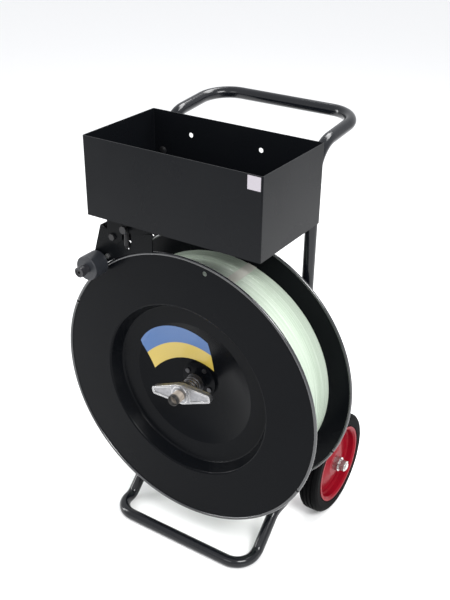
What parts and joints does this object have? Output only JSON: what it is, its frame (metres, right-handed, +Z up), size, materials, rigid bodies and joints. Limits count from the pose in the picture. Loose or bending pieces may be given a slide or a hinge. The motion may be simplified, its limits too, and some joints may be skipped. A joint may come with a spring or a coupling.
{
  "type": "strapping dispenser cart",
  "caption": "Two-wheeled tube-frame cart with a flanged reel for a coil of strapping, a sprung brake arm with a feed roller, and an open tool tray under a bent handle.",
  "frame": {"origin": "middle of the footprint, on the floor", "axes": "+X to the right seen from the front, +Y from the front to the handle, +Z up"},
  "size_m": [0.636, 0.4836, 0.9457],
  "materials": {
    "black_powder_coat": "semi-gloss powder coat",
    "zinc_steel": "bright zinc plate",
    "black_fastener": "black oxide",
    "tan_plated_steel": "dull tan plating",
    "bronze": "sintered, oiled",
    "cast_aluminium": "as cast, edges polished",
    "kraft_board": "matt kraft board",
    "green_strap": "glossy pale green polyester strap",
    "paper_tape": "matt paper tape",
    "printed_label": "printed film, blue over yellow",
    "white_sticker": "printed film",
    "grey_plastic": "satin dark grey",
    "dark_collar": "satin",
    "black_rubber": "matt",
    "tyre_rubber": "satin, grooved",
    "red_enamel": "gloss enamel"
  },
  "bodies": {
    "frame": {"axle_bracket_left": "black_powder_coat", "axle_bracket_right": "black_powder_coat", "axle_nuts": "zinc_steel", "axle_washers": "zinc_steel", "brake_hanger": "black_powder_coat", "brake_spring": "zinc_steel", "foot_loop_tube": "black_powder_coat", "handle_frame_tube": "black_powder_coat", "hanger_bolts": "zinc_steel", "lower_cross_tube": "black_powder_coat", "pivot_bolt": "black_fastener", "pivot_nut": "zinc_steel", "reel_spindle": "zinc_steel", "spindle_cross_bar": "black_powder_coat", "spindle_end_screw": "black_fastener", "spindle_nut": "zinc_steel", "spring_anchor": "black_fastener", "tool_tray": "black_powder_coat", "tray_bolts": "black_fastener", "tray_nuts": "zinc_steel", "tray_sticker": "white_sticker", "tube_joint_sleeves": "black_powder_coat", "wheel_axle": "zinc_steel"},
    "reel": {"hub_tube": "tan_plated_steel", "hub_bushes": "bronze", "back_flange": "black_powder_coat", "hub_spacer": "zinc_steel", "strap_core": "kraft_board", "strap_coil": "green_strap", "coil_tape": "paper_tape"},
    "front_flange": {"front_flange": "black_powder_coat", "front_flange_hub": "zinc_steel", "hub_rivets": "zinc_steel", "flange_label": "printed_label", "clamp_spring": "zinc_steel", "clamp_washers": "zinc_steel"},
    "nut_carrier": {"thrust_washer": "zinc_steel"},
    "wing_nut": {"wing_nut": "cast_aluminium"},
    "brake_arm": {"brake_arm": "black_powder_coat", "pivot_bush": "bronze", "brake_shoe": "black_rubber", "shoe_screw": "zinc_steel", "roller_sleeve": "zinc_steel", "roller_collar": "dark_collar", "roller_washer": "zinc_steel", "roller_screw": "black_fastener", "roller_nut": "zinc_steel"},
    "feed_roller": {"feed_roller": "grey_plastic"},
    "wheel_left": {"tyre_left": "tyre_rubber", "wheel_disc_outer_left": "red_enamel", "wheel_disc_inner_left": "red_enamel", "wheel_hub_left": "zinc_steel", "wheel_bearings_left": "zinc_steel"},
    "wheel_right": {"tyre_right": "tyre_rubber", "wheel_disc_outer_right": "red_enamel", "wheel_disc_inner_right": "red_enamel", "wheel_hub_right": "zinc_steel", "wheel_bearings_right": "zinc_steel"}
  },
  "joints": [
    {"name": "reel_spin", "type": "hinge", "parent": "frame", "child": "reel", "pos_m": [0, -0.08875, 0.395], "axis": [0, 1, 0], "continuous": true},
    {"name": "front_flange_slack", "type": "slide", "parent": "reel", "child": "front_flange", "axis": [0, -1, 0], "range_m": [0, 0.0012]},
    {"name": "nut_travel", "type": "slide", "parent": "front_flange", "child": "nut_carrier", "axis": [0, -1, 0], "range_m": [0, 0.0381]},
    {"name": "wing_nut_turn", "type": "hinge", "parent": "nut_carrier", "child": "wing_nut", "pos_m": [0, -0.16875, 0.395], "axis": [0, -1, 0], "range_deg": [0, 4320]},
    {"name": "brake_pivot", "type": "hinge", "parent": "frame", "child": "brake_arm", "pos_m": [-0.166, -0.16875, 0.718], "axis": [0, 1, 0], "range_deg": [0, 20], "stiffness_Nm_per_rad": 4, "springref_deg": -20.05, "deforming": ["brake_spring"]},
    {"name": "feed_roller_spin", "type": "hinge", "parent": "brake_arm", "child": "feed_roller", "pos_m": [-0.2065, -0.19375, 0.65099], "axis": [0, 1, 0], "continuous": true},
    {"name": "wheel_left_spin", "type": "hinge", "parent": "frame", "child": "wheel_left", "pos_m": [-0.2245, 0.11925, 0.1225], "axis": [1, 0, 0], "continuous": true},
    {"name": "wheel_right_spin", "type": "hinge", "parent": "frame", "child": "wheel_right", "pos_m": [0.2245, 0.11925, 0.1225], "axis": [1, 0, 0], "continuous": true}
  ],
  "couplings": [
    {"joint": "nut_travel", "follows": "wing_nut_turn", "m_per_rad": 0.00050532}
  ]
}
